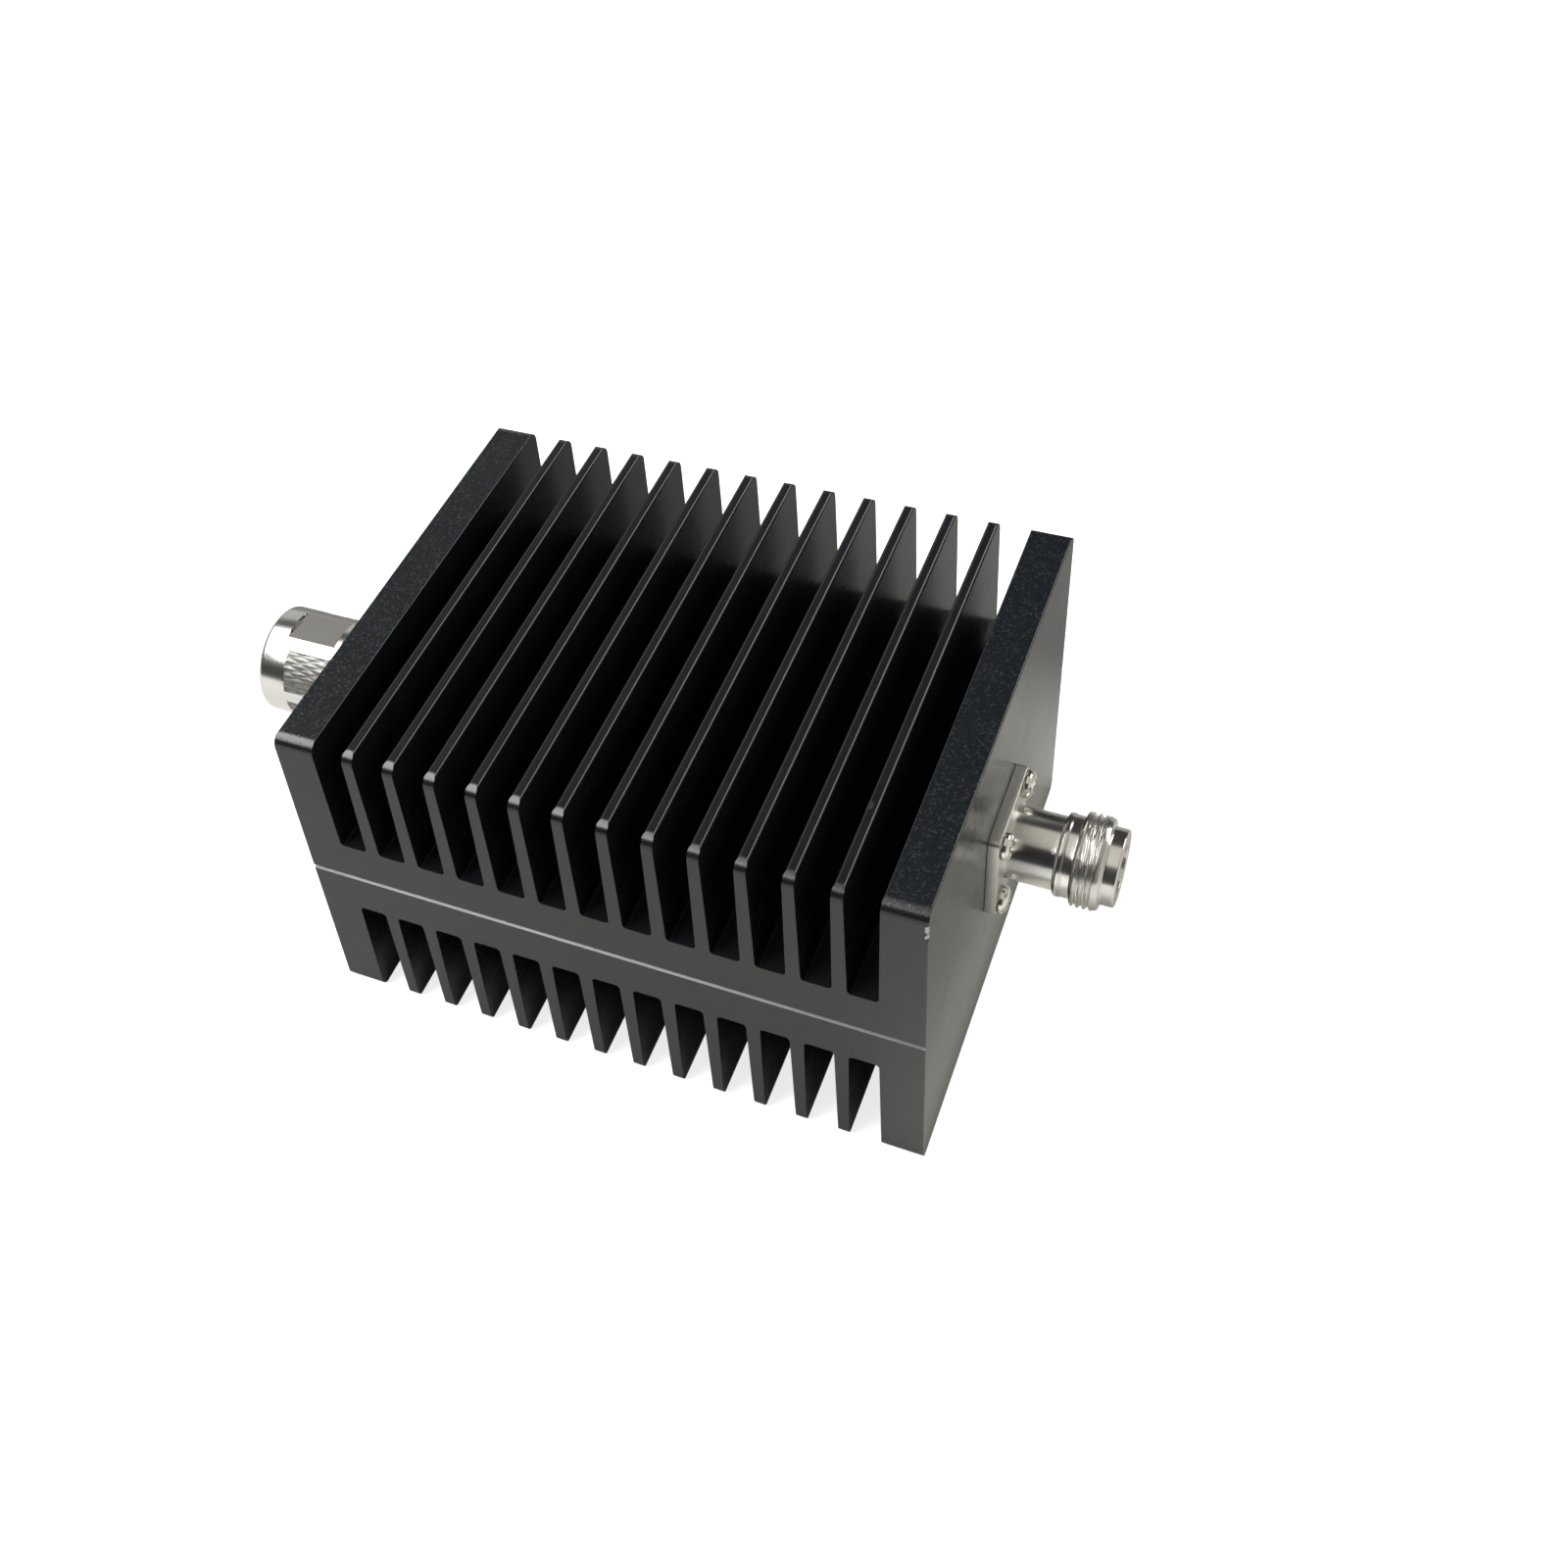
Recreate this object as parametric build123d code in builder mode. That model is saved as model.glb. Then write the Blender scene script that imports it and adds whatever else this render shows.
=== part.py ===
"""Convection-cooled coaxial attenuator: two finned aluminium halves around a film resistor,
a male type N plug on the left (-X) and a female type N socket on the right (+X).

Millimetres. The origin is the middle of the footprint, at the foot of the fins. +Z is up, the
coaxial axis runs along X a little above the joint between the halves, because the line lies on
the lower half, and the fins run along Y.
"""
import math
import os

from build123d import *

os.makedirs("parts", exist_ok=True)

# Finned halves: one extrusion, used twice, back to back
body_length = 108.5
body_width = 85.0
half_height = 32.5
base_thick = 8.5
fin_count = 12
fin_tip_thick = 1.85
fin_root_thick = 2.4
end_wall_thick = 7.075
slot_corner_radius = 0.8
fin_edge_radius = 0.5
wall_edge_radius = 0.25
tip_end_radius = 2.1
joint_edge_run = 0.6
joint_edge_rise = 0.44
axis_above_joint = 1.1

# Knocks on the upper half: two on its right front upright edge, one on the last fin's tip
nick_radius = 1.6
nick_depth = 0.3
nick_drops = (2.9, 4.6)
pit_radius = 0.7
pit_depth = 0.35
pit_inset = 17.1

# Square connector flange and its pan head screws
flange_side = 18.4
flange_thick = 2.0
flange_hole_spacing = 13.8
flange_corner_radius = 0.6
flange_hole_radius = 1.45
flange_screw_radius = 1.25
flange_screw_length = 8.0
flange_screw_head_radius = 2.4
flange_screw_head_height = 1.7
flange_screw_crown = 0.55
recess_width = 0.75
recess_span = 2.9
recess_depth = 0.9

# Standard sizes of the 50 ohm interface
thread_major_radius = 15.875 / 2
thread_minor_radius = 7.365
line_outer_radius = 3.5
line_inner_radius = 1.52
plug_sleeve_radius = 4.0
socket_bore_radius = 4.065
socket_bore_depth = 9.1
pin_tip_radius = 0.825
pin_tip_length = 5.6
pin_step_depth = 5.3
contact_hole_radius = 0.85
contact_hole_depth = 5.5
contact_recess = 5.0
contact_slot_width = 0.3
contact_slot_depth = 4.6

# Socket shell, distances out from the right face of the body
barrel_radius = 6.25
collar_radius = 7.0
relief_radius = 6.7
pilot_radius = 7.25
nose_radius = 6.5
barrel_end = 10.2
collar_end = 11.3
relief_end = 13.2
thread_end = 16.9
pilot_end = 18.6
socket_reach = 20.0
turned_chamfer = 0.3

# Plug, distances out from the left face of the body
plug_reach = 30.7
nut_length = 19.0
nut_radius = 10.15
nut_front_ring = 4.5
nut_rear_ring = 2.6
nut_across_flats = 18.4
nut_rest_turn = 8.0
nut_chamfer = 0.8
nut_thread_length = 9.5
nut_thread_runout = 1.6
nut_runout_radius = 8.1
running_gap = 0.08
plug_ring_radius = 7.0
sleeve_setback = 2.0
sleeve_seat_depth = 4.2
sleeve_root_radius = 4.8
sleeve_taper_length = 0.5
gasket_thick = 1.5
gasket_inner_radius = 5.1
gasket_outer_radius = 6.9
ring_groove_depth = 0.75
snap_ring_thick = 1.0
snap_ring_reach = 0.45
snap_ring_gap_angle = 24.0
snap_ring_setback = 2.6
side_gap = 0.1

# Rear of both connectors, inside the body
fit_gap = 0.04
stub_radius = 3.0
lead_radius = 0.65
lead_overlap = 2.0

# Film resistor on its copper mounting flange, and the line boards either side of it
element_flange_length = 24.8
element_flange_width = 9.5
element_flange_thick = 3.2
element_hole_spacing = 18.8
element_hole_radius = 1.65
substrate_side = 9.0
substrate_thick = 1.0
cover_length = 8.4
cover_width = 6.4
cover_thick = 1.5
tab_width = 2.5
tab_thick = 0.2
tab_overlap = 2.2
board_width = 13.6
board_thick = 1.5
track_width = 4.2
track_thick = 0.1
board_screw_inset = 4.0
board_screw_offset = 4.8
board_hole_radius = 1.15
pocket_gap = 0.3
wall_passage_length = 7.0
upper_cavity_depth = 4.0

# Screws inside the body
element_screw_radius = 1.5
element_screw_length = 6.0
element_head_radius = 2.75
element_head_height = 1.9
element_washer_radius = 3.0
element_washer_thick = 0.7
board_screw_radius = 1.0
board_screw_length = 4.5
board_head_radius = 1.9
board_head_height = 1.2
screw_slot_width = 0.6
screw_slot_depth = 0.7

# Cap screws that close the body, sunk in the slot floors of the lower half
case_screw_radius = 1.25
case_screw_length = 10.0
case_head_radius = 2.25
case_head_height = 2.5
case_hex_across = 2.0
case_hex_depth = 1.2
case_sink_depth = 2.8
case_clear_radius = 1.45
hole_spare = 0.7
case_row_inset = 8.0

# Places that follow from the sizes above
axis_height = half_height + axis_above_joint
half_length = body_length / 2
body_middle = (plug_reach - socket_reach) / 2
right_face = body_middle + half_length
left_face = body_middle - half_length
slot_pitch = (body_length - 2 * end_wall_thick + fin_tip_thick) / (fin_count + 1)
slot_tip_width = slot_pitch - fin_tip_thick
fin_taper = (fin_root_thick - fin_tip_thick) / 2
slot_draft = math.degrees(math.atan(fin_taper / (half_height - base_thick)))
tapped_depth = flange_screw_length - flange_thick + hole_spare
cavity_end = half_length - wall_passage_length
board_top = lead_radius - axis_above_joint
channel_depth = board_top + track_thick + board_thick
element_pocket_depth = board_top + substrate_thick + element_flange_thick
channel_width = board_width + 2 * pocket_gap
board_start = element_flange_width / 2 + 2 * pocket_gap
board_end = cavity_end - pocket_gap
nut_rear = plug_reach - nut_length
nut_bore_radius = plug_ring_radius + running_gap
sleeve_front = plug_reach - sleeve_setback
gasket_front = plug_reach - nut_thread_length - nut_thread_runout
plug_shoulder = gasket_front - gasket_thick
snap_ring_front = plug_shoulder - snap_ring_setback
case_columns = [(slot - fin_count / 2) * slot_pitch for slot in (0, fin_count // 2, fin_count)]
case_row = body_width / 2 - case_row_inset
case_places = [(x, y) for x in case_columns for y in (-case_row, case_row)]

centre = (body_middle, 0, half_height)
coax_axis = Axis((body_middle, 0, axis_height), (1, 0, 0))

# Upper and lower half: profile plane (across, height from the joint), end plane, joint plane
upper_profile = Plane(origin=centre, x_dir=(1, 0, 0), z_dir=(0, -1, 0))
upper_end = Plane(origin=centre, x_dir=(0, 1, 0), z_dir=(1, 0, 0))
upper_joint = Plane(origin=centre, x_dir=(1, 0, 0), z_dir=(0, 0, 1))
lower_profile = Plane(origin=centre, x_dir=(1, 0, 0), z_dir=(0, 1, 0))
lower_end = Plane(origin=centre, x_dir=(0, 1, 0), z_dir=(-1, 0, 0))
lower_joint = Plane(origin=centre, x_dir=(1, 0, 0), z_dir=(0, 0, -1))

# Right and left connector: face plane, and section plane (distance out, radius)
right_plane = Plane(origin=(right_face, 0, axis_height), x_dir=(0, 1, 0), z_dir=(1, 0, 0))
right_section = Plane(origin=(right_face, 0, axis_height), x_dir=(1, 0, 0), z_dir=(0, -1, 0))
left_plane = Plane(origin=(left_face, 0, axis_height), x_dir=(0, -1, 0), z_dir=(-1, 0, 0))
left_section = Plane(origin=(left_face, 0, axis_height), x_dir=(-1, 0, 0), z_dir=(0, 1, 0))


def save(part, name):
    """Labels a finished piece and writes its STEP file."""
    part.label = name
    export_step(part, f"parts/{name}.step")


def turn(section, outline):
    """Turns a closed outline of (distance out, radius) points about the coaxial axis."""
    with BuildSketch(section) as half_section:
        with BuildLine():
            Polyline(*outline, close=True)
        make_face()
    revolve(half_section.sketch, axis=coax_axis)


def extrude_half(profile, end):
    """Extrudes one finned half and keeps what lies inside the eased outline of its sawn ends."""
    with BuildSketch(profile) as section:
        with Locations((0, half_height / 2)):
            Rectangle(body_length, half_height)
        with Locations((0, (base_thick + half_height) / 2)):
            with GridLocations(slot_pitch, 1, fin_count + 1, 1):
                Trapezoid(
                    slot_tip_width, half_height - base_thick, 90 + slot_draft, mode=Mode.SUBTRACT
                )
        floors = section.vertices().group_by(Axis.Y)[1]
        fillet(floors, radius=slot_corner_radius)
        tips = section.vertices().group_by(Axis.Y)[-1].sort_by(Axis.X)
        fillet(tips[2:-2], radius=fin_edge_radius)
        tips = section.vertices().group_by(Axis.Y)[-1].sort_by(Axis.X)
        fillet(tips[:2] + tips[-2:], radius=wall_edge_radius)
    extrude(section.sketch, amount=body_width / 2, both=True)
    with BuildSketch(end) as eased:
        with BuildLine():
            Polyline(
                (body_width / 2 - joint_edge_run, 0),
                (body_width / 2, joint_edge_rise),
                (body_width / 2, half_height),
                (-body_width / 2, half_height),
                (-body_width / 2, joint_edge_rise),
                (joint_edge_run - body_width / 2, 0),
                close=True,
            )
        make_face()
        fillet(eased.vertices().group_by(Axis.Y)[-1], radius=tip_end_radius)
    extrude(eased.sketch, amount=body_length / 2, both=True, mode=Mode.INTERSECT)


def bore_for_connectors():
    """Passages for the insulators and tapped holes for the flange screws, at both ends."""
    for face in (right_plane, left_plane):
        with BuildSketch(face) as passage:
            Circle(stub_radius + fit_gap)
        extrude(passage.sketch, amount=-wall_passage_length, mode=Mode.SUBTRACT)
        with BuildSketch(face) as tapped:
            with GridLocations(flange_hole_spacing, flange_hole_spacing, 2, 2):
                Circle(flange_screw_radius + fit_gap)
        extrude(tapped.sketch, amount=-tapped_depth, mode=Mode.SUBTRACT)


# Upper heat sink: fins up, with the cavity roof over the line
with BuildPart() as upper_heat_sink:
    extrude_half(upper_profile, upper_end)
    with BuildSketch(upper_joint):
        Rectangle(2 * cavity_end, channel_width)
        Rectangle(element_flange_width + 2 * pocket_gap, element_flange_length + 2 * pocket_gap)
    extrude(amount=upper_cavity_depth, mode=Mode.SUBTRACT)
    bore_for_connectors()
    with BuildSketch(upper_joint):
        with Locations(*case_places):
            Circle(case_screw_radius + fit_gap)
    case_grip = case_screw_length - (base_thick - case_sink_depth)
    extrude(amount=case_grip + hole_spare, mode=Mode.SUBTRACT)
    nick_out = (nick_radius - nick_depth) / math.sqrt(2)
    nick_side = -(body_width / 2 + nick_out)
    nick_heights = [2 * half_height - drop for drop in nick_drops]
    with Locations(*[(right_face + nick_out, nick_side, height) for height in nick_heights]):
        Sphere(nick_radius, mode=Mode.SUBTRACT)
    pit_side = body_middle + (fin_count - 1) / 2 * slot_pitch - fin_tip_thick / 2
    pit_height = 2 * half_height + pit_radius - pit_depth
    with Locations((pit_side, -(body_width / 2 - pit_inset), pit_height)):
        Sphere(pit_radius, mode=Mode.SUBTRACT)
save(upper_heat_sink.part, "upper_heat_sink")

# Lower heat sink: fins down, with the pocket for the resistor and the seats for the boards
with BuildPart() as lower_heat_sink:
    extrude_half(lower_profile, lower_end)
    with BuildSketch(lower_joint):
        Rectangle(2 * cavity_end, channel_width)
    extrude(amount=channel_depth, mode=Mode.SUBTRACT)
    with BuildSketch(lower_joint):
        Rectangle(element_flange_width + 2 * pocket_gap, element_flange_length + 2 * pocket_gap)
    extrude(amount=element_pocket_depth, mode=Mode.SUBTRACT)
    bore_for_connectors()
    with BuildSketch(lower_joint.offset(element_pocket_depth)):
        with GridLocations(1, element_hole_spacing, 1, 2):
            Circle(element_screw_radius + fit_gap)
    element_grip = element_screw_length - element_flange_thick - element_washer_thick
    extrude(amount=element_grip + fit_gap, mode=Mode.SUBTRACT)
    board_middle = (board_start + board_end) / 2
    board_screw_spacing = board_end - board_start - 2 * board_screw_inset
    board_screw_places = [
        (side * board_middle + step * board_screw_spacing / 2, across * board_screw_offset)
        for side in (-1, 1)
        for step in (-1, 1)
        for across in (-1, 1)
    ]
    with BuildSketch(lower_joint.offset(channel_depth)):
        with Locations(*board_screw_places):
            Circle(board_screw_radius + fit_gap)
    extrude(amount=board_screw_length - board_thick + fit_gap, mode=Mode.SUBTRACT)
    with BuildSketch(lower_joint):
        with Locations(*case_places):
            Circle(case_clear_radius)
    extrude(amount=base_thick, mode=Mode.SUBTRACT)
    with BuildSketch(lower_joint.offset(base_thick - case_sink_depth)):
        with Locations(*case_places):
            Circle(case_head_radius + fit_gap)
    extrude(amount=case_sink_depth + slot_corner_radius, mode=Mode.SUBTRACT)
save(lower_heat_sink.part, "lower_heat_sink")


def flange_with_holes(face):
    """Square flange on the body's face, with its four screw holes."""
    with BuildSketch(face) as square:
        RectangleRounded(flange_side, flange_side, flange_corner_radius)
        with GridLocations(flange_hole_spacing, flange_hole_spacing, 2, 2):
            Circle(flange_hole_radius, mode=Mode.SUBTRACT)
    extrude(square.sketch, amount=flange_thick)


def line_bore(face, length):
    """Bore of the outer conductor, from the face of the body outwards."""
    with BuildSketch(face) as bore:
        Circle(line_outer_radius)
    extrude(bore.sketch, amount=length, mode=Mode.SUBTRACT)


# Socket shell: flange, barrel, collar, thread and nose turned from one bar
with BuildPart() as socket_shell:
    turn(
        right_section,
        [
            (0, 0),
            (0, barrel_radius),
            (barrel_end, barrel_radius),
            (barrel_end, collar_radius - turned_chamfer),
            (barrel_end + turned_chamfer, collar_radius),
            (collar_end, collar_radius),
            (collar_end, relief_radius),
            (relief_end, relief_radius),
            (relief_end, thread_major_radius),
            (thread_end, thread_major_radius),
            (thread_end, pilot_radius),
            (pilot_end - turned_chamfer, pilot_radius),
            (pilot_end, pilot_radius - turned_chamfer),
            (pilot_end, nose_radius),
            (socket_reach - turned_chamfer, nose_radius),
            (socket_reach, nose_radius - turned_chamfer),
            (socket_reach, 0),
        ],
    )
    flange_with_holes(right_plane)
    line_bore(right_plane, socket_reach)
    with BuildSketch(right_plane.offset(socket_reach)):
        Circle(socket_bore_radius)
    extrude(amount=-socket_bore_depth, mode=Mode.SUBTRACT)
save(socket_shell.part, "socket_shell")

socket_shoulder = socket_reach - socket_bore_depth
contact_front = socket_reach - contact_recess


def turn_insulator(section, front):
    """White bead that fills a connector's bore, with a stub through the body's wall."""
    turn(
        section,
        [
            (-wall_passage_length, lead_radius + fit_gap),
            (-wall_passage_length, stub_radius),
            (0, stub_radius),
            (0, line_outer_radius - fit_gap),
            (front, line_outer_radius - fit_gap),
            (front, line_inner_radius + fit_gap),
            (0, line_inner_radius + fit_gap),
            (0, lead_radius + fit_gap),
        ],
    )


# Socket insulator: ends at the shoulder of the bore
with BuildPart() as socket_insulator:
    turn_insulator(right_section, socket_shoulder)
save(socket_insulator.part, "socket_insulator")

# Socket contact: gold plated finger contact with four slots, drawn down to a solder lead
with BuildPart() as socket_contact:
    turn(
        right_section,
        [
            (-wall_passage_length - lead_overlap, 0),
            (-wall_passage_length - lead_overlap, lead_radius),
            (0, lead_radius),
            (0, line_inner_radius),
            (contact_front - turned_chamfer, line_inner_radius),
            (contact_front, line_inner_radius - turned_chamfer),
            (contact_front, 0),
        ],
    )
    with BuildSketch(right_plane.offset(contact_front)):
        Circle(contact_hole_radius)
    extrude(amount=-contact_hole_depth, mode=Mode.SUBTRACT)
    with BuildSketch(right_plane.offset(contact_front)):
        Rectangle(2 * line_inner_radius, contact_slot_width)
        Rectangle(contact_slot_width, 2 * line_inner_radius)
    extrude(amount=-contact_slot_depth, mode=Mode.SUBTRACT)
save(socket_contact.part, "socket_contact")

# Plug body: flange, barrel and the ring the coupling nut turns on, with the snap ring groove
with BuildPart() as plug_body:
    turn(
        left_section,
        [
            (0, 0),
            (0, barrel_radius),
            (nut_rear + side_gap, barrel_radius),
            (nut_rear + side_gap, plug_ring_radius),
            (snap_ring_front - snap_ring_thick, plug_ring_radius),
            (snap_ring_front - snap_ring_thick, plug_ring_radius - ring_groove_depth),
            (snap_ring_front, plug_ring_radius - ring_groove_depth),
            (snap_ring_front, plug_ring_radius),
            (plug_shoulder, plug_ring_radius),
            (plug_shoulder, 0),
        ],
    )
    flange_with_holes(left_plane)
    line_bore(left_plane, plug_shoulder)
    with BuildSketch(left_plane.offset(plug_shoulder)):
        Circle(sleeve_root_radius + fit_gap)
    extrude(amount=-sleeve_seat_depth, mode=Mode.SUBTRACT)
save(plug_body.part, "plug_body")

# Plug sleeve: the outer contact that enters the socket, its thick root pressed into the plug body
with BuildPart() as plug_sleeve:
    turn(
        left_section,
        [
            (plug_shoulder - sleeve_seat_depth, line_outer_radius),
            (plug_shoulder - sleeve_seat_depth, sleeve_root_radius),
            (plug_shoulder, sleeve_root_radius),
            (plug_shoulder + sleeve_taper_length, plug_sleeve_radius),
            (sleeve_front - turned_chamfer, plug_sleeve_radius),
            (sleeve_front, plug_sleeve_radius - turned_chamfer),
            (sleeve_front, line_outer_radius),
        ],
    )
save(plug_sleeve.part, "plug_sleeve")

plug_insulator_front = sleeve_front - pin_step_depth

# Plug insulator: ends flush with the step of the pin
with BuildPart() as plug_insulator:
    turn_insulator(left_section, plug_insulator_front)
save(plug_insulator.part, "plug_insulator")

# Plug pin: gold plated, with a slim tip that enters the socket contact
pin_front = plug_insulator_front + pin_tip_length
with BuildPart() as plug_pin:
    turn(
        left_section,
        [
            (-wall_passage_length - lead_overlap, 0),
            (-wall_passage_length - lead_overlap, lead_radius),
            (0, lead_radius),
            (0, line_inner_radius),
            (plug_insulator_front, line_inner_radius),
            (plug_insulator_front, pin_tip_radius),
            (pin_front - 2 * pin_tip_radius, pin_tip_radius),
            (pin_front, pin_tip_radius / 3),
            (pin_front, 0),
        ],
    )
save(plug_pin.part, "plug_pin")

# Plug gasket: silicone ring that the socket's nose presses on
with BuildPart() as plug_gasket:
    turn(
        left_section,
        [
            (plug_shoulder, gasket_inner_radius),
            (plug_shoulder, gasket_outer_radius),
            (gasket_front, gasket_outer_radius),
            (gasket_front, gasket_inner_radius),
        ],
    )
save(plug_gasket.part, "plug_gasket")

# Snap ring: open ring in the plug body's groove that keeps the nut on
ring_inner = plug_ring_radius - ring_groove_depth + fit_gap
ring_outer = nut_bore_radius + snap_ring_reach
with BuildPart() as snap_ring:
    with BuildSketch(left_plane.offset(snap_ring_front - side_gap / 2)):
        Circle(ring_outer)
        Circle(ring_inner, mode=Mode.SUBTRACT)
        half_gap = math.radians(snap_ring_gap_angle / 2)
        with BuildLine():
            Polyline(
                (0, 0),
                (-2 * ring_outer * math.sin(half_gap), -2 * ring_outer * math.cos(half_gap)),
                (2 * ring_outer * math.sin(half_gap), -2 * ring_outer * math.cos(half_gap)),
                close=True,
            )
        make_face(mode=Mode.SUBTRACT)
    extrude(amount=-(snap_ring_thick - side_gap))
save(snap_ring.part, "snap_ring")

# Coupling nut: turns freely on the plug body, threaded inside, with two wrench flats
with BuildPart() as coupling_nut:
    grip_front = plug_reach - nut_front_ring
    grip_rear = nut_rear + nut_rear_ring
    turn(
        left_section,
        [
            (nut_rear, nut_bore_radius),
            (nut_rear, nut_radius - nut_chamfer),
            (nut_rear + nut_chamfer, nut_radius),
            (plug_reach - nut_chamfer, nut_radius),
            (plug_reach, nut_radius - nut_chamfer),
            (plug_reach, thread_major_radius),
            (plug_reach - (thread_major_radius - thread_minor_radius), thread_minor_radius),
            (plug_reach - nut_thread_length, thread_minor_radius),
            (plug_reach - nut_thread_length, nut_runout_radius),
            (plug_shoulder + side_gap, nut_runout_radius),
            (plug_shoulder + side_gap, nut_bore_radius),
            (snap_ring_front + side_gap, nut_bore_radius),
            (snap_ring_front + side_gap, ring_outer + running_gap),
            (snap_ring_front - snap_ring_thick - side_gap, ring_outer + running_gap),
            (snap_ring_front - snap_ring_thick - side_gap, nut_bore_radius),
        ],
    )
    flat_depth = nut_radius - nut_across_flats / 2
    with BuildSketch(left_plane.offset(grip_rear)):
        with Locations(Rotation(0, 0, nut_rest_turn)):
            with GridLocations(1, nut_across_flats + 2 * flat_depth, 1, 2):
                Rectangle(2 * nut_radius, 2 * flat_depth)
    extrude(amount=grip_front - grip_rear, mode=Mode.SUBTRACT)
save(coupling_nut.part, "coupling_nut")


def pan_screws(face):
    """Four cross recess pan head screws seated on a connector flange."""
    seat = face.offset(flange_thick)
    with BuildSketch(seat) as shanks:
        with GridLocations(flange_hole_spacing, flange_hole_spacing, 2, 2):
            Circle(flange_screw_radius)
    extrude(shanks.sketch, amount=-flange_screw_length)
    with BuildSketch(seat) as heads:
        with GridLocations(flange_hole_spacing, flange_hole_spacing, 2, 2):
            Circle(flange_screw_head_radius)
    turned = extrude(heads.sketch, amount=flange_screw_head_height)
    rims = turned.edges().filter_by(GeomType.CIRCLE).group_by(Axis(face.origin, face.z_dir))[-1]
    chamfer(rims, length=flange_screw_crown, length2=2 * flange_screw_crown)
    with BuildSketch(seat.offset(flange_screw_head_height)) as crosses:
        with GridLocations(flange_hole_spacing, flange_hole_spacing, 2, 2):
            Rectangle(recess_span, recess_width, rotation=45)
            Rectangle(recess_span, recess_width, rotation=-45)
    extrude(crosses.sketch, amount=-recess_depth, mode=Mode.SUBTRACT)


with BuildPart() as socket_flange_screws:
    pan_screws(right_plane)
save(socket_flange_screws.part, "socket_flange_screws")

with BuildPart() as plug_flange_screws:
    pan_screws(left_plane)
save(plug_flange_screws.part, "plug_flange_screws")

# Cap screws: heads sunk in the lower half's slot floors, threads in the upper half
with BuildPart() as case_screws:
    head_seat = lower_joint.offset(base_thick - case_sink_depth)
    with BuildSketch(head_seat):
        with Locations(*case_places):
            Circle(case_screw_radius)
    extrude(amount=-case_screw_length)
    with BuildSketch(head_seat):
        with Locations(*case_places):
            Circle(case_head_radius)
    extrude(amount=case_head_height)
    with BuildSketch(head_seat.offset(case_head_height)):
        with Locations(*case_places):
            RegularPolygon(case_hex_across / 2, 6, major_radius=False)
    extrude(amount=-case_hex_depth, mode=Mode.SUBTRACT)
save(case_screws.part, "case_screws")

# Copper mounting flange of the film resistor, screwed down in the lower half's pocket
with BuildPart() as resistor_flange:
    with BuildSketch(lower_joint.offset(element_pocket_depth)):
        Rectangle(element_flange_width, element_flange_length)
        with GridLocations(1, element_hole_spacing, 1, 2):
            Circle(element_hole_radius, mode=Mode.SUBTRACT)
    extrude(amount=-element_flange_thick)
save(resistor_flange.part, "resistor_flange")

# Ceramic substrate that carries the resistive film
with BuildPart() as film_substrate:
    with BuildSketch(lower_joint.offset(board_top + substrate_thick)):
        Rectangle(substrate_side, substrate_side)
    extrude(amount=-substrate_thick)
save(film_substrate.part, "film_substrate")

# Ceramic lid over the film
with BuildPart() as film_cover:
    with BuildSketch(lower_joint.offset(board_top)):
        Rectangle(cover_width, cover_length)
    extrude(amount=-cover_thick)
save(film_cover.part, "film_cover")

# Silver tabs from the film to the two line boards
tab_start = cover_width / 2 + pocket_gap
tab_length = board_start + tab_overlap - tab_start
for side, name in ((-1, "input_tab"), (1, "output_tab")):
    with BuildPart() as tab:
        with BuildSketch(lower_joint.offset(board_top)):
            with Locations((side * (tab_start + tab_length / 2), 0)):
                Rectangle(tab_length, tab_width)
        extrude(amount=-tab_thick)
    save(tab.part, name)

# Line boards: laminate with a raised copper track, from each connector to the film
for side, name in ((-1, "input_line_board"), (1, "output_line_board")):
    with BuildPart() as board:
        with BuildSketch(lower_joint.offset(channel_depth)):
            with Locations((side * board_middle, 0)):
                Rectangle(board_end - board_start, board_width)
                with GridLocations(board_screw_spacing, 2 * board_screw_offset, 2, 2):
                    Circle(board_hole_radius, mode=Mode.SUBTRACT)
        extrude(amount=-board_thick)
        with BuildSketch(lower_joint.offset(board_top + track_thick)):
            with Locations((side * board_middle, 0)):
                Rectangle(board_end - board_start, track_width)
        extrude(amount=-track_thick)
    save(board.part, name)


def slotted_screws(seat, places, radius, length, head_radius, head_height):
    """Slotted cheese head screws whose heads stand on the seat plane."""
    with BuildSketch(seat) as shanks:
        with Locations(*places):
            Circle(radius)
    extrude(shanks.sketch, amount=length)
    with BuildSketch(seat) as heads:
        with Locations(*places):
            Circle(head_radius)
    extrude(heads.sketch, amount=-head_height)
    with BuildSketch(seat.offset(-head_height)) as slots:
        with Locations(*places):
            Rectangle(2 * head_radius, screw_slot_width)
    extrude(slots.sketch, amount=screw_slot_depth, mode=Mode.SUBTRACT)


element_places = [(0, -element_hole_spacing / 2), (0, element_hole_spacing / 2)]
element_seat = lower_joint.offset(element_pocket_depth - element_flange_thick)

# Spring washers under the resistor's screws
with BuildPart() as resistor_washers:
    with BuildSketch(element_seat):
        with Locations(*element_places):
            Circle(element_washer_radius)
            Circle(element_screw_radius + fit_gap, mode=Mode.SUBTRACT)
    extrude(amount=-element_washer_thick)
save(resistor_washers.part, "resistor_washers")

with BuildPart() as resistor_screws:
    slotted_screws(
        element_seat.offset(-element_washer_thick),
        element_places,
        element_screw_radius,
        element_screw_length,
        element_head_radius,
        element_head_height,
    )
save(resistor_screws.part, "resistor_screws")

with BuildPart() as board_screws:
    slotted_screws(
        lower_joint.offset(channel_depth - board_thick),
        board_screw_places,
        board_screw_radius,
        board_screw_length,
        board_head_radius,
        board_head_height,
    )
save(board_screws.part, "board_screws")

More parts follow.
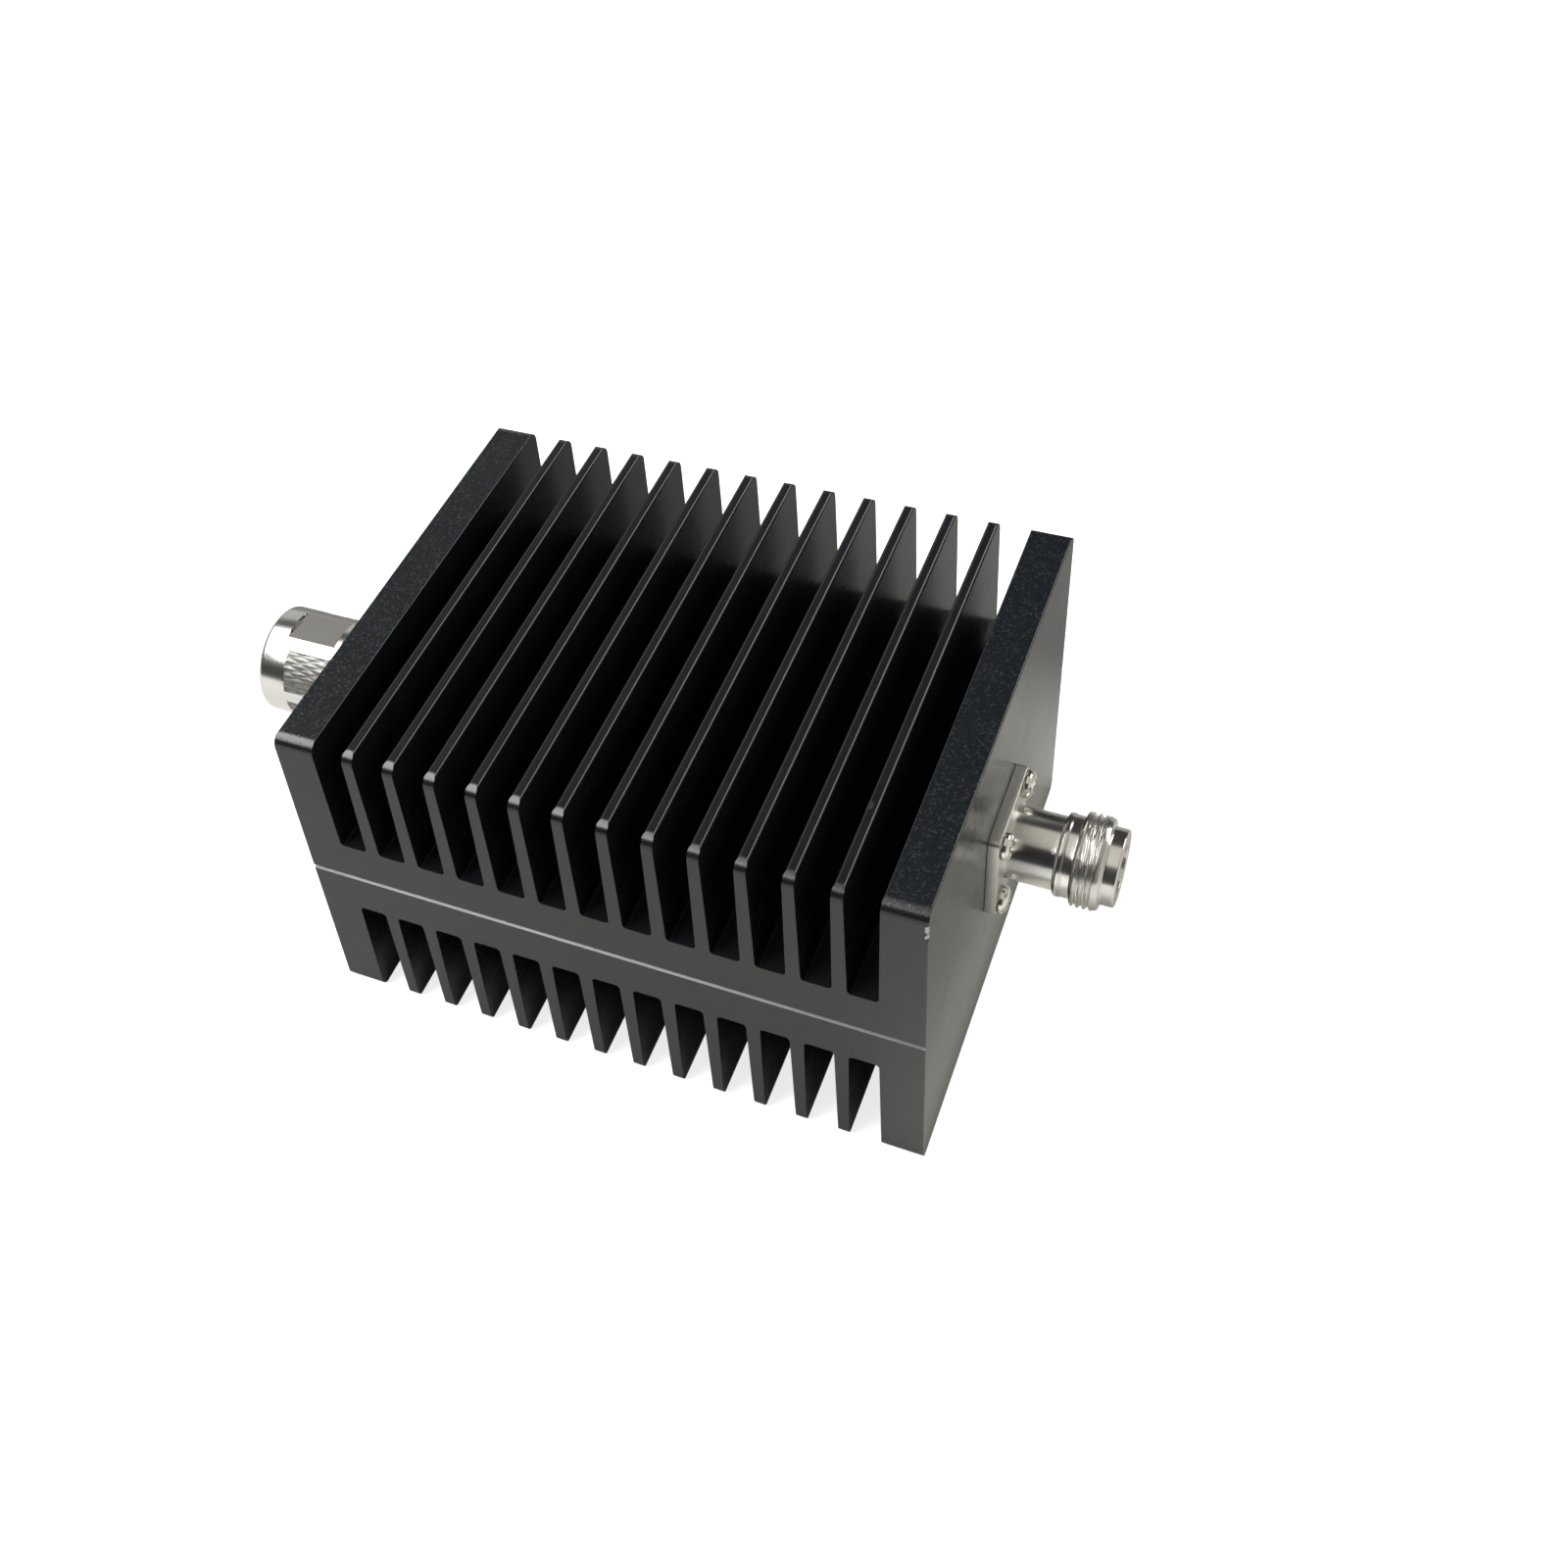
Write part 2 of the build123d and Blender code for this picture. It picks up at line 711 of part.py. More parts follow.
print(f"slot pitch {slot_pitch:.2f}, slot mouth {slot_tip_width:.2f}")
print(f"length over connectors {body_length + plug_reach + socket_reach:.1f}")
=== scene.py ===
# %% [markdown]
# # A finned coaxial attenuator
# This box turns radio power into heat. Two black finned halves carry the heat away, and a
# plug and a socket of the same screwed kind stick out of its ends. The solid model already
# has every piece at its true size, so this file adds what a solid model leaves plain: the
# screw threads, the knurl, the cross recesses, the metals and the light. The frame is loaded
# first, because every later size is read from it or stands beside it.

# %% The frame
import math

import bpy
import numpy as np
from mathutils import Matrix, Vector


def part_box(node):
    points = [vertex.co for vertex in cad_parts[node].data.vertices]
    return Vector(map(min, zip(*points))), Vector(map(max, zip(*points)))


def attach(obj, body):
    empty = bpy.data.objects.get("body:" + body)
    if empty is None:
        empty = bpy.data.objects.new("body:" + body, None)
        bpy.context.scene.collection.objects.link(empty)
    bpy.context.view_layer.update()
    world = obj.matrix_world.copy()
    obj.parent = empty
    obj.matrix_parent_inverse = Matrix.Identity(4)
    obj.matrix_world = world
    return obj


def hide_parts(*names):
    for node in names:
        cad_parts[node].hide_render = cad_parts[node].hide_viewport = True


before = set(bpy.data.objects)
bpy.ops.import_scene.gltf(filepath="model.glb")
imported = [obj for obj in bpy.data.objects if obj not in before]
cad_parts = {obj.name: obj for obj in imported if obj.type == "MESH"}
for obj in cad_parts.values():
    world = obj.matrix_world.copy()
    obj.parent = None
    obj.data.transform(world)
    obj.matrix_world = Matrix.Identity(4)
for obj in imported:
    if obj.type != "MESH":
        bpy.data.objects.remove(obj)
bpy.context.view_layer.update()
mm = 0.001

# %% [markdown]
# Both connectors are measured outwards from the faces of the finned body, as they are on a
# drawing. The boxes of the heat sinks give those faces and the joint, and the box of the nut
# gives the coaxial axis, so nothing here can drift from the solids.

# %% Places read from the frame
left_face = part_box("upper_heat_sink")[0].x
right_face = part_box("upper_heat_sink")[1].x
half_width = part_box("upper_heat_sink")[1].y
top_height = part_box("upper_heat_sink")[1].z
joint_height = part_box("lower_heat_sink")[1].z
axis_height = (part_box("coupling_nut")[0].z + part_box("coupling_nut")[1].z) / 2
body_middle = (left_face + right_face) / 2
print("faces", round(left_face / mm, 2), round(right_face / mm, 2), "axis", round(axis_height / mm, 2))

# %% [markdown]
# ## Surfaces from two parameters
# A turned or knurled piece could be carved from a cylinder with modifiers, but each groove
# would need its own tool. Here a piece is a grid of points worked out with numpy instead: one
# direction runs along the outline, the other round the axis. The grid is joined to itself
# where it closes, and one sum over its corners tells whether the faces point outwards.


# %% A grid of points becomes a piece
def grid_quads(rows, columns, close_rows):
    """Corner numbers of each quad between neighbouring points; columns always close."""
    number = np.arange(rows * columns).reshape(rows, columns)
    number = np.hstack([number, number[:, :1]])
    if close_rows:
        number = np.vstack([number, number[:1]])
    corners = [number[:-1, :-1], number[1:, :-1], number[1:, 1:], number[:-1, 1:]]
    return np.stack(corners, axis=-1).reshape(-1, 4)


def pole_fans(rows, columns):
    """Triangles from the first and last ring to one pole point each, added after the grid."""
    ring = np.arange(columns)
    after = np.roll(ring, -1)
    last = (rows - 1) * columns
    first_pole = np.full(columns, rows * columns)
    low = np.stack([ring, after, first_pole], axis=-1)
    high = np.stack([last + after, last + ring, first_pole + 1], axis=-1)
    return np.vstack([low, high])


def enclosed_volume(points, triangles):
    """A sixth of the summed triple products of the triangles' corners, positive if outwards."""
    a, b, c = points[triangles[:, 0]], points[triangles[:, 1]], points[triangles[:, 2]]
    return float(np.einsum("ij,ij->i", a, np.cross(b, c)).sum() / 6)


def make_piece(name, grids, poles=False, sharp=32):
    """One object from a list of (rows, columns, 3) grids, shaded smooth but for sharp edges."""
    all_points, all_faces, start = [], [], 0
    for grid in grids:
        rows, columns = grid.shape[:2]
        points = grid.reshape(-1, 3)
        quads = grid_quads(rows, columns, close_rows=not poles)
        triangles = np.vstack([quads[:, [0, 1, 2]], quads[:, [0, 2, 3]]])
        fans = np.zeros((0, 3), int)
        if poles:
            points = np.vstack([points, grid[0].mean(axis=0), grid[-1].mean(axis=0)])
            fans = pole_fans(rows, columns)
            triangles = np.vstack([triangles, fans])
        if enclosed_volume(points, triangles) < 0:
            quads, fans = quads[:, ::-1], fans[:, ::-1]
        all_points.append(points)
        all_faces += (quads + start).tolist() + (fans + start).tolist()
        start += len(points)
    mesh = bpy.data.meshes.new(name)
    mesh.from_pydata(np.vstack(all_points).tolist(), [], all_faces)
    mesh.polygons.foreach_set("use_smooth", np.ones(len(mesh.polygons), bool))
    mesh.set_sharp_from_angle(angle=math.radians(sharp))
    piece = bpy.data.objects.new(name, mesh)
    bpy.context.scene.collection.objects.link(piece)
    print(name, "faces", len(mesh.polygons))
    return piece


# %% [markdown]
# A lathe leaves no edge quite sharp, and it is the small rounds that catch the light. So an
# outline is written as plain corner points, and a helper swaps each corner for a short curve.
# A third number rides along with each point: how much of the screw thread is cut there.


# %% Outlines with rounded corners
def rounded(corners, radius, steps=4):
    """Swaps each corner p of an open outline for the curve (1-t)^2 a + 2t(1-t) p + t^2 b,
    where a and b lie one radius before and after it, or under half way to its neighbours."""
    corners = np.array(corners, float)
    inner = corners[1:-1]
    back, ahead = corners[:-2] - inner, corners[2:] - inner
    reach_back = np.linalg.norm(back[:, :2], axis=1, keepdims=True)
    reach_ahead = np.linalg.norm(ahead[:, :2], axis=1, keepdims=True)
    before = inner + back * np.minimum(0.45, radius / reach_back)
    after = inner + ahead * np.minimum(0.45, radius / reach_ahead)
    t = np.linspace(0, 1, steps + 1)[None, :, None]
    curves = (1 - t) ** 2 * before[:, None] + 2 * t * (1 - t) * inner[:, None] + t**2 * after[:, None]
    return np.vstack([corners[:1], curves.reshape(-1, corners.shape[1]), corners[-1:]])


def straight(start, end, step):
    """Evenly spaced rows from start to end, no further apart than step."""
    start, end = np.array(start, float), np.array(end, float)
    count = max(2, int(np.linalg.norm(end - start) / step) + 1)
    return start + (end - start) * np.linspace(0, 1, count)[:, None]


def turned(out, radius, angles, face, direction):
    """Point (face + direction * out, r cos a, axis + r sin a) for each row and each angle."""
    x = np.broadcast_to((face + direction * out * mm)[:, None], radius.shape)
    y = radius * mm * np.cos(angles)
    z = axis_height + radius * mm * np.sin(angles)
    return np.stack([x, y, z], axis=-1)


# %% [markdown]
# ## The thread
# Both connectors share one fine thread, 24 turns to the inch on a 5/8 inch screw. A swept
# helix would have to be joined to the piece by a boolean. A cut in the radius is simpler: at
# each point the depth depends on how far it lies from the groove, and the groove winds once
# round for each pitch.

# %% A groove that winds round the axis
thread_pitch = 25.4 / 24
thread_radius = 7.94
thread_depth = 0.56
thread_crest = 0.14


def thread_cut(out, angles):
    """Depth of the groove in millimetres: a V whose distance along the axis, less the turn's
    share of the pitch, repeats every pitch; the crest stays flat and the root is eased."""
    turn = (out[:, None] / thread_pitch - angles[None, :] / (2 * math.pi)) % 1
    flank = 1 - np.abs(2 * turn - 1)
    cut = np.clip((flank - thread_crest) / (1 - thread_crest), 0, 1)
    return thread_depth * np.sin(cut * math.pi / 2) ** 1.2


print("pitch", round(thread_pitch, 3), "depth", thread_depth)

# %% [markdown]
# ## The socket
# On the real attenuator the socket's shell is turned from one bar of brass: a square flange,
# a plain barrel, a collar, a relief, the thread and a stepped nose. The barrel is one closed
# outline taken round the axis. The thread is cut where the third number is 1.

# %% The socket's turned shell
socket_outline = np.vstack(
    [
        [(0.0, 6.25, 0)],
        rounded(
            [
                (0.4, 6.25, 0), (10.1, 6.25, 0), (10.2, 6.8, 0), (10.5, 7.05, 0), (11.0, 7.05, 0),
                (11.3, 6.95, 0), (11.5, 6.9, 0), (12.9, 6.9, 0), (13.1, 7.7, 0), (13.4, thread_radius, 0),
            ],
            0.16,
        ),
        straight((13.5, thread_radius, 1), (16.2, thread_radius, 1), 0.075),
        rounded(
            [
                (16.25, thread_radius, 1), (16.35, 7.7, 1), (16.4, 7.92, 0), (17.5, 7.55, 0),
                (17.6, 6.6, 0), (18.0, 6.5, 0), (19.8, 6.5, 0), (20.0, 6.3, 0), (20.0, 4.065, 0),
                (10.9, 4.065, 0),
                (10.9, 3.5, 0), (0.0, 3.5, 0), (0.0, 4.5, 0),
            ],
            0.18,
        ),
    ]
)
around = np.linspace(0, 2 * math.pi, 192, endpoint=False)
socket_radius = socket_outline[:, 1:2] - socket_outline[:, 2:3] * thread_cut(socket_outline[:, 0], around)
socket_barrel = make_piece(
    "socket_barrel", [turned(socket_outline[:, 0], socket_radius, around, right_face, 1)]
)

# %% [markdown]
# The flange is sawn and milled, not turned. A filled flat curve suits it: one outline for the
# rounded square, one for each hole, a thickness, and a small bevel all round. The barrel's
# bore and the screws pass through it, and it is made a mesh before it is put in place.

# %% The square flange as a filled curve
flange_side = 18.4
flange_thick = 2.0
flange_corner = 0.95
flange_bevel = 0.12
hole_spacing = 13.8
hole_radius = 1.45
barrel_seat = 6.2


def ring(radius, centre, count=48):
    """Points at equal angles on a circle."""
    angle = np.linspace(0, 2 * math.pi, count, endpoint=False)
    return np.stack([centre[0] + radius * np.cos(angle), centre[1] + radius * np.sin(angle)], axis=-1)


def rounded_square(side, corner, steps=6):
    """Quarter circles at the four corners, joined by the straight sides."""
    turn = np.linspace(0, math.pi / 2, steps)[None, :] + (np.arange(4) * math.pi / 2)[:, None]
    sign = np.array([(1, 1), (-1, 1), (-1, -1), (1, -1)]) * (side / 2 - corner)
    x = sign[:, :1] + corner * np.cos(turn)
    y = sign[:, 1:] + corner * np.sin(turn)
    return np.stack([x, y], axis=-1).reshape(-1, 2)


def add_outline(curve, points):
    """Adds one closed outline of straight runs to a flat curve."""
    spline = curve.splines.new("POLY")
    spline.points.add(len(points) - 1)
    flat = np.zeros((len(points), 4))
    flat[:, :2] = points * mm
    flat[:, 3] = 1
    spline.points.foreach_set("co", flat.ravel())
    spline.use_cyclic_u = True


def make_flange(name, face, direction):
    """Square plate with a bore and four holes, seated on one face of the body."""
    curve = bpy.data.curves.new(name, "CURVE")
    curve.dimensions = "2D"
    curve.fill_mode = "BOTH"
    curve.extrude = (flange_thick / 2 - flange_bevel) * mm
    curve.bevel_depth = flange_bevel * mm
    curve.bevel_resolution = 2
    curve.offset = -flange_bevel * mm
    add_outline(curve, rounded_square(flange_side, flange_corner))
    add_outline(curve, ring(barrel_seat, (0, 0), 96))
    for side in (-1, 1):
        for up in (-1, 1):
            add_outline(curve, ring(hole_radius, (side * hole_spacing / 2, up * hole_spacing / 2)))
    holder = bpy.data.objects.new(name + "_curve", curve)
    bpy.context.scene.collection.objects.link(holder)
    mesh = bpy.data.meshes.new_from_object(holder)
    bpy.data.objects.remove(holder)
    stand = Matrix(((0, 0, direction, 0), (direction, 0, 0, 0), (0, 1, 0, 0), (0, 0, 0, 1)))
    middle = face + direction * flange_thick / 2 * mm
    mesh.transform(Matrix.Translation((middle, 0, axis_height)) @ stand)
    piece = bpy.data.objects.new(name, mesh)
    bpy.context.scene.collection.objects.link(piece)
    print(name, "faces", len(mesh.polygons))
    return piece


socket_flange = make_flange("socket_flange", right_face, 1)

# %% [markdown]
# ## The coupling nut
# The nut screws the plug onto its mate and spins freely until then. It has a smooth ring at
# the front, two flats for a wrench, four knurled panels for the fingers, and plain bands in
# between. All of that is one function of the distance along the axis and the angle: the
# smallest of the turned radius, the flats, and the knurl.

# %% The nut's outline, outside and in
nut_front = 30.7
nut_rear = 11.7
grip_front = nut_front - 4.5
grip_rear = nut_rear + 4.3
nut_radius = 10.15
nut_bore = 7.08
nut_outside = np.vstack(
    [
        rounded(
            [
                (nut_rear, 7.3, 0), (nut_rear, 9.45, 0), (nut_rear + 0.7, nut_radius, 0),
                (grip_rear - 0.1, nut_radius, 0),
            ],
            0.2,
        ),
        straight((grip_rear - 0.02, nut_radius, 0), (grip_rear, nut_radius, 0), 0.02),
        straight((grip_rear + 0.02, nut_radius, 0), (grip_front - 0.02, nut_radius, 0), 0.22),
        straight((grip_front, nut_radius, 0), (grip_front + 0.02, nut_radius, 0), 0.02),
        rounded(
            [
                (grip_front + 0.1, nut_radius, 0), (nut_front - 0.6, nut_radius, 0),
                (nut_front, 9.55, 0), (nut_front, 7.95, 0),
            ],
            0.3,
        ),
    ]
)
nut_inside = np.vstack(
    [
        rounded(
            [
                (nut_front, 7.95, 0), (nut_front - 0.5, thread_radius, 0.5),
                (nut_front - 0.55, thread_radius, 1),
            ],
            0.05,
            2,
        ),
        straight((nut_front - 0.6, thread_radius, 1), (21.4, thread_radius, 1), 0.27),
        [(21.2, thread_radius, 0), (21.2, 8.1, 0), (18.2, 8.1, 0), (18.2, nut_bore, 0)],
        [(15.6, nut_bore, 0), (15.6, 7.61, 0), (14.4, 7.61, 0), (14.4, nut_bore, 0)],
        [(nut_rear, nut_bore, 0)],
    ]
)
nut_outline = np.vstack([nut_outside, nut_inside])
print("rows", len(nut_outline))

# %% [markdown]
# The knurl is two sets of V grooves that cross at 60 degrees and leave small pyramids. At any
# point its height is the smaller of two triangle waves, one for each set. The number of
# grooves round the nut is whole, so the pattern meets itself.

# %% Flats and knurl
flat_turn = math.radians(87)
flat_distance = 9.5
flat_runout = 0.3
knurl_front = nut_front - 5.7
knurl_count = 92
knurl_axial = 2.2
knurl_depth = 0.17
panel_turns = np.radians([25, 145, 205, 325])
panel_half = math.radians(23)


def turned_away(angles, turn):
    """Smallest angle between each direction and one turn, from 0 to pi."""
    return np.abs((angles - turn + math.pi) % (2 * math.pi) - math.pi)


def flats(out, angles):
    """Radius of two opposite flats: their distance over the cosine of the angle from each. The
    distance grows over the last stretch before the front ring, as a round cutter leaves it."""
    away = np.minimum(turned_away(angles, flat_turn), turned_away(angles, flat_turn + math.pi))
    rise = np.clip(1 - (grip_front - out) / flat_runout, 0, 1) ** 2 * (nut_radius - flat_distance)
    return (flat_distance + rise)[:, None] / np.cos(np.minimum(away, 1.2))[None, :]


def knurl_cut(out, angles):
    """Depth of the crossed grooves: one less the smaller of two triangle waves, only inside
    the panels, with a short slope at their borders."""
    round_turns = knurl_count * angles[None, :] / (2 * math.pi)
    along_turns = out[:, None] / (2 * knurl_axial)
    first = 1 - np.abs(2 * ((round_turns / 2 + along_turns) % 1) - 1)
    second = 1 - np.abs(2 * ((round_turns / 2 - along_turns) % 1) - 1)
    away = np.min([turned_away(angles, turn) for turn in panel_turns], axis=0)
    side = np.clip((panel_half - away) / math.radians(1.2), 0, 1)[None, :]
    end = np.clip(np.minimum(out - grip_rear, knurl_front - out) / 0.25, 0, 1)[:, None]
    return knurl_depth * np.minimum(side, end) * (1 - 0.85 * np.minimum(first, second))


def nut_radii(outline, angles):
    """Outline radius, lowered by thread and knurl, and held under the flats in the grip."""
    out, radius, thread = outline[:, 0], outline[:, 1:2], outline[:, 2:3]
    radius = radius - thread * (thread_depth - thread_cut(out, angles))
    grip = ((out > grip_rear) & (out < grip_front) & (outline[:, 1] > 10.0))[:, None]
    shaped = np.minimum(radius - knurl_cut(out, angles), flats(out, angles))
    return np.where(grip, shaped, radius)


nut_angles = np.linspace(0, 2 * math.pi, 644, endpoint=False)
knurled_nut = make_piece(
    "knurled_nut",
    [turned(nut_outline[:, 0], nut_radii(nut_outline, nut_angles), nut_angles, left_face, -1)],
    sharp=40,
)

# %% [markdown]
# ## Pan head screws
# Four small screws hold each connector's flange. The head is a low dome with a cross recess.
# A boolean cross would leave hard edges, so the recess is cut in the dome's height: two bars
# with sloping walls, deepest at the centre. Each screw is left at its own turn, as a
# screwdriver leaves it.

# %% One screw as a surface of distance and angle
head_radius = 2.4
head_height = 1.75
head_rim = 0.75
shank_radius = 1.25
shank_length = 6.0
cross_span = 1.4
cross_half = 0.36
cross_depth = 1.3


def dome(distance):
    """Height of the head: the rim plus a flattened arch that falls to it at the edge."""
    share = np.clip(distance / head_radius, 0, 1)
    return head_rim + (head_height - head_rim) * (1 - share**2.6) ** 0.6


def cross(u, v):
    """Depth of the recess: for each bar, a sloping wall in its width and its length."""
    def bar(along, across):
        wall = np.clip((cross_half - np.abs(across)) / 0.14 + 0.5, 0, 1)
        end = np.clip((cross_span - np.abs(along)) / 0.5, 0, 1)
        return wall * end
    return cross_depth * np.maximum(bar(u, v), bar(v, u))


def screw_grid(centre, turn, face, direction):
    """Rings from the dome's middle, over the rim, under the head and down the shank."""
    angles = np.linspace(0, 2 * math.pi, 120, endpoint=False)[None, :]
    top = np.concatenate([np.linspace(0.02, 1.7, 36), np.linspace(1.75, head_radius, 12)])[:, None]
    u, v = top * np.cos(angles - turn), top * np.sin(angles - turn)
    height = dome(top) - cross(u, v)
    under = np.array(
        [
            (head_radius, 0.4), (head_radius, 0.12), (head_radius - 0.12, 0.0), (1.3, 0.0),
            (shank_radius, -0.1), (shank_radius, 0.4 - shank_length), (1.0, -shank_length),
        ]
    )
    distance = np.vstack([np.broadcast_to(top, u.shape), np.repeat(under[:, :1], angles.size, axis=1)])
    height = np.vstack([height, np.repeat(under[:, 1:], angles.size, axis=1)])
    x = face + direction * (flange_thick + height) * mm
    y = (centre[0] + distance * np.cos(angles)) * mm
    z = axis_height + (centre[1] + distance * np.sin(angles)) * mm
    return np.stack([x, y, z], axis=-1)


def make_screws(name, face, direction, turns):
    """Four screws at the flange's corners, as one piece."""
    spots = [(side * hole_spacing / 2, up * hole_spacing / 2) for side in (-1, 1) for up in (-1, 1)]
    grids = [screw_grid(spot, turn, face, direction) for spot, turn in zip(spots, turns)]
    return make_piece(name, grids, poles=True, sharp=50)


socket_screws = make_screws("socket_screws", right_face, 1, (0.35, 0.75, 0.1, 1.2))
plug_screws = make_screws("plug_screws", left_face, -1, (0.9, 0.2, 0.6, 1.1))

# %% [markdown]
# ## What rides with what
# Every new piece stands for the solid it copies and moves with the same body. Only the nut
# turns, so it alone rides on the nut's body.

# %% Riding and replacing
for piece, node, body, slot_name in (
    (socket_barrel, "socket_shell", "attenuator", "nickel"),
    (socket_flange, "socket_shell", "attenuator", "nickel"),
    (knurled_nut, "coupling_nut", "coupling_nut", "nickel"),
    (socket_screws, "socket_flange_screws", "attenuator", "steel"),
    (plug_screws, "plug_flange_screws", "attenuator", "steel"),
):
    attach(piece, body)
    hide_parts(node)

# %% [markdown]
# ## Shader maths
# A finish is easier to read as an expression than as a web of nodes. The class below wraps
# one socket of a material: adding, multiplying or comparing two of them places the Math node.
# Its one other method makes any other kind of node, settings first and sockets after.


# %% Sockets that do arithmetic
class Wire:
    """One output socket of a material's nodes, or a plain number turned into maths."""

    def __init__(self, tree, socket):
        self.tree = tree
        self.socket = socket

    def node(self, kind, settings=None, inputs=None, out=0):
        """Any node: its settings are put on first, then the values or wires of its sockets."""
        made = self.tree.nodes.new(kind)
        for key, value in (settings or {}).items():
            setattr(made, key, value)
        for key, value in (inputs or {}).items():
            if isinstance(value, Wire):
                self.tree.links.new(value.socket, made.inputs[key])
            else:
                made.inputs[key].default_value = value
        return Wire(self.tree, made.outputs[out])

    def maths(self, operation, *others):
        """A Math node on this wire and the others, which may be numbers."""
        terms = dict(enumerate((self, *others)))
        return self.node("ShaderNodeMath", {"operation": operation}, terms)

    def flipped(self, operation, other):
        """The same with a plain number first."""
        return self.node("ShaderNodeMath", {"operation": operation}, {0: other, 1: self})

    def __add__(self, other):
        return self.maths("ADD", other)

    def __radd__(self, other):
        return self.flipped("ADD", other)

    def __sub__(self, other):
        return self.maths("SUBTRACT", other)

    def __rsub__(self, other):
        return self.flipped("SUBTRACT", other)

    def __mul__(self, other):
        return self.maths("MULTIPLY", other)

    def __rmul__(self, other):
        return self.flipped("MULTIPLY", other)

    def __truediv__(self, other):
        return self.maths("DIVIDE", other)

    def __pow__(self, other):
        return self.maths("POWER", other)

    def __gt__(self, other):
        return self.maths("GREATER_THAN", other)

    def __lt__(self, other):
        return self.maths("LESS_THAN", other)

    def __abs__(self):
        return self.maths("ABSOLUTE")

    def least(self, other):
        return self.maths("MINIMUM", other)

    def most(self, other):
        return self.maths("MAXIMUM", other)

    def step(self, low, high):
        """0 below low, 1 above high, an eased slope between."""
        settings = {"interpolation_type": "SMOOTHSTEP"}
        spread = {"Value": self, "From Min": low, "From Max": high}
        return self.node("ShaderNodeMapRange", settings, spread)


# %% [markdown]
# Each finish starts from the same few things: a Principled shader, and where the point lies on
# the object. The places are in metres, so every pattern below has its real size. `Finish`
# holds them, with short calls for the patterns used again and again.


# %% A finish and its common patterns
class Finish:
    """A material with its shader, its place on the object and its common patterns."""

    def __init__(self, name, **fixed):
        self.material = bpy.data.materials.new(name)
        self.material.use_nodes = True
        self.tree = self.material.node_tree
        self.shader = self.tree.nodes["Principled BSDF"]
        for key, value in fixed.items():
            self.shader.inputs[key.replace("_", " ")].default_value = value
        self.start = Wire(self.tree, None)
        self.place = self.start.node("ShaderNodeTexCoord", out="Object")
        self.x, self.y, self.z = self.parts(self.place)
        facing = self.start.node("ShaderNodeNewGeometry", out="Normal")
        self.nx, self.ny, self.nz = self.parts(facing)

    def parts(self, vector):
        """The three numbers of a vector."""
        split = vector.node("ShaderNodeSeparateXYZ", inputs={"Vector": vector})
        outputs = split.socket.node.outputs
        return Wire(self.tree, outputs[0]), Wire(self.tree, outputs[1]), Wire(self.tree, outputs[2])

    def vector(self, x, y, z):
        return self.start.node("ShaderNodeCombineXYZ", inputs={"X": x, "Y": y, "Z": z})

    def noise(self, size, detail=2.0, rough=0.5, at=None, stretch=(1, 1, 1)):
        """Noise whose grain is about size millimetres, drawn out by stretch."""
        scale = tuple(1 / (size * mm * s) for s in stretch)
        settings = {"operation": "MULTIPLY"}
        spot = self.start.node("ShaderNodeVectorMath", settings, {0: at or self.place, 1: scale})
        inputs = {"Vector": spot, "Scale": 1.0, "Detail": detail, "Roughness": rough}
        return self.start.node("ShaderNodeTexNoise", None, inputs)

    def blend(self, share, low, high):
        """Mixes two colours by a share from 0 to 1."""
        node = self.tree.nodes.new("ShaderNodeMix")
        node.data_type = "RGBA"
        self.tree.links.new(share.socket, node.inputs[0])
        for socket, colour in ((node.inputs[6], low), (node.inputs[7], high)):
            if isinstance(colour, Wire):
                self.tree.links.new(colour.socket, socket)
            else:
                socket.default_value = (*colour, 1)
        return Wire(self.tree, node.outputs[2])

    def bump(self, height, depth):
        """Height of 0 to 1 turned into relief of depth millimetres."""
        inputs = {"Height": height, "Distance": depth * mm, "Strength": 1.0}
        return self.start.node("ShaderNodeBump", None, inputs)

    def use(self, **wires):
        """Links wires to the shader's sockets; an underscore stands for a blank."""
        for key, wire in wires.items():
            self.tree.links.new(wire.socket, self.shader.inputs[key.replace("_", " ")])
        return self.material


# %% [markdown]
# ## Black anodising
# The halves are cut from a long extrusion and dyed black. Three surfaces differ. Faces that
# came out of the die carry faint lines along the fins. The sawn ends are dulled by a fine
# even grain. The tops of the two end walls are speckled by tiny pits. Where the black never
# took or was knocked off, the bare metal shows: at the upright corner, where it was knocked.
# Two lighter marks are painted highlights: a broken light line along that upright corner, and
# the facet along the joint, with a dark gap over it. All of it is one material, chosen by
# place and by facing.

# %% The anodised halves
nick_spots = [(right_face, -half_width, top_height - drop * mm) for drop in (2.6, 3.2, 4.6)]


def distance_to(finish, spot):
    """Distance of the surface from one spot."""
    settings = {"operation": "DISTANCE"}
    return finish.start.node("ShaderNodeVectorMath", settings, {0: finish.place, 1: spot}, out="Value")


black = Finish("black_anodising", Metallic=0.0, IOR=1.55)
grain = black.noise(0.22, detail=3, rough=0.7)
cloud = black.noise(9, detail=3)
lines = black.noise(0.16, detail=3, rough=0.75, stretch=(1, 260, 1))
sawn = (abs(black.y) - half_width).step(-0.06 * mm, -0.02 * mm)
outer_end = abs(black.x - body_middle) > 47.2 * mm
wall_top = abs(black.nz).step(0.6, 0.8) * outer_end
speck = black.noise(0.45, detail=2, rough=0.6).step(0.54, 0.68) * wall_top

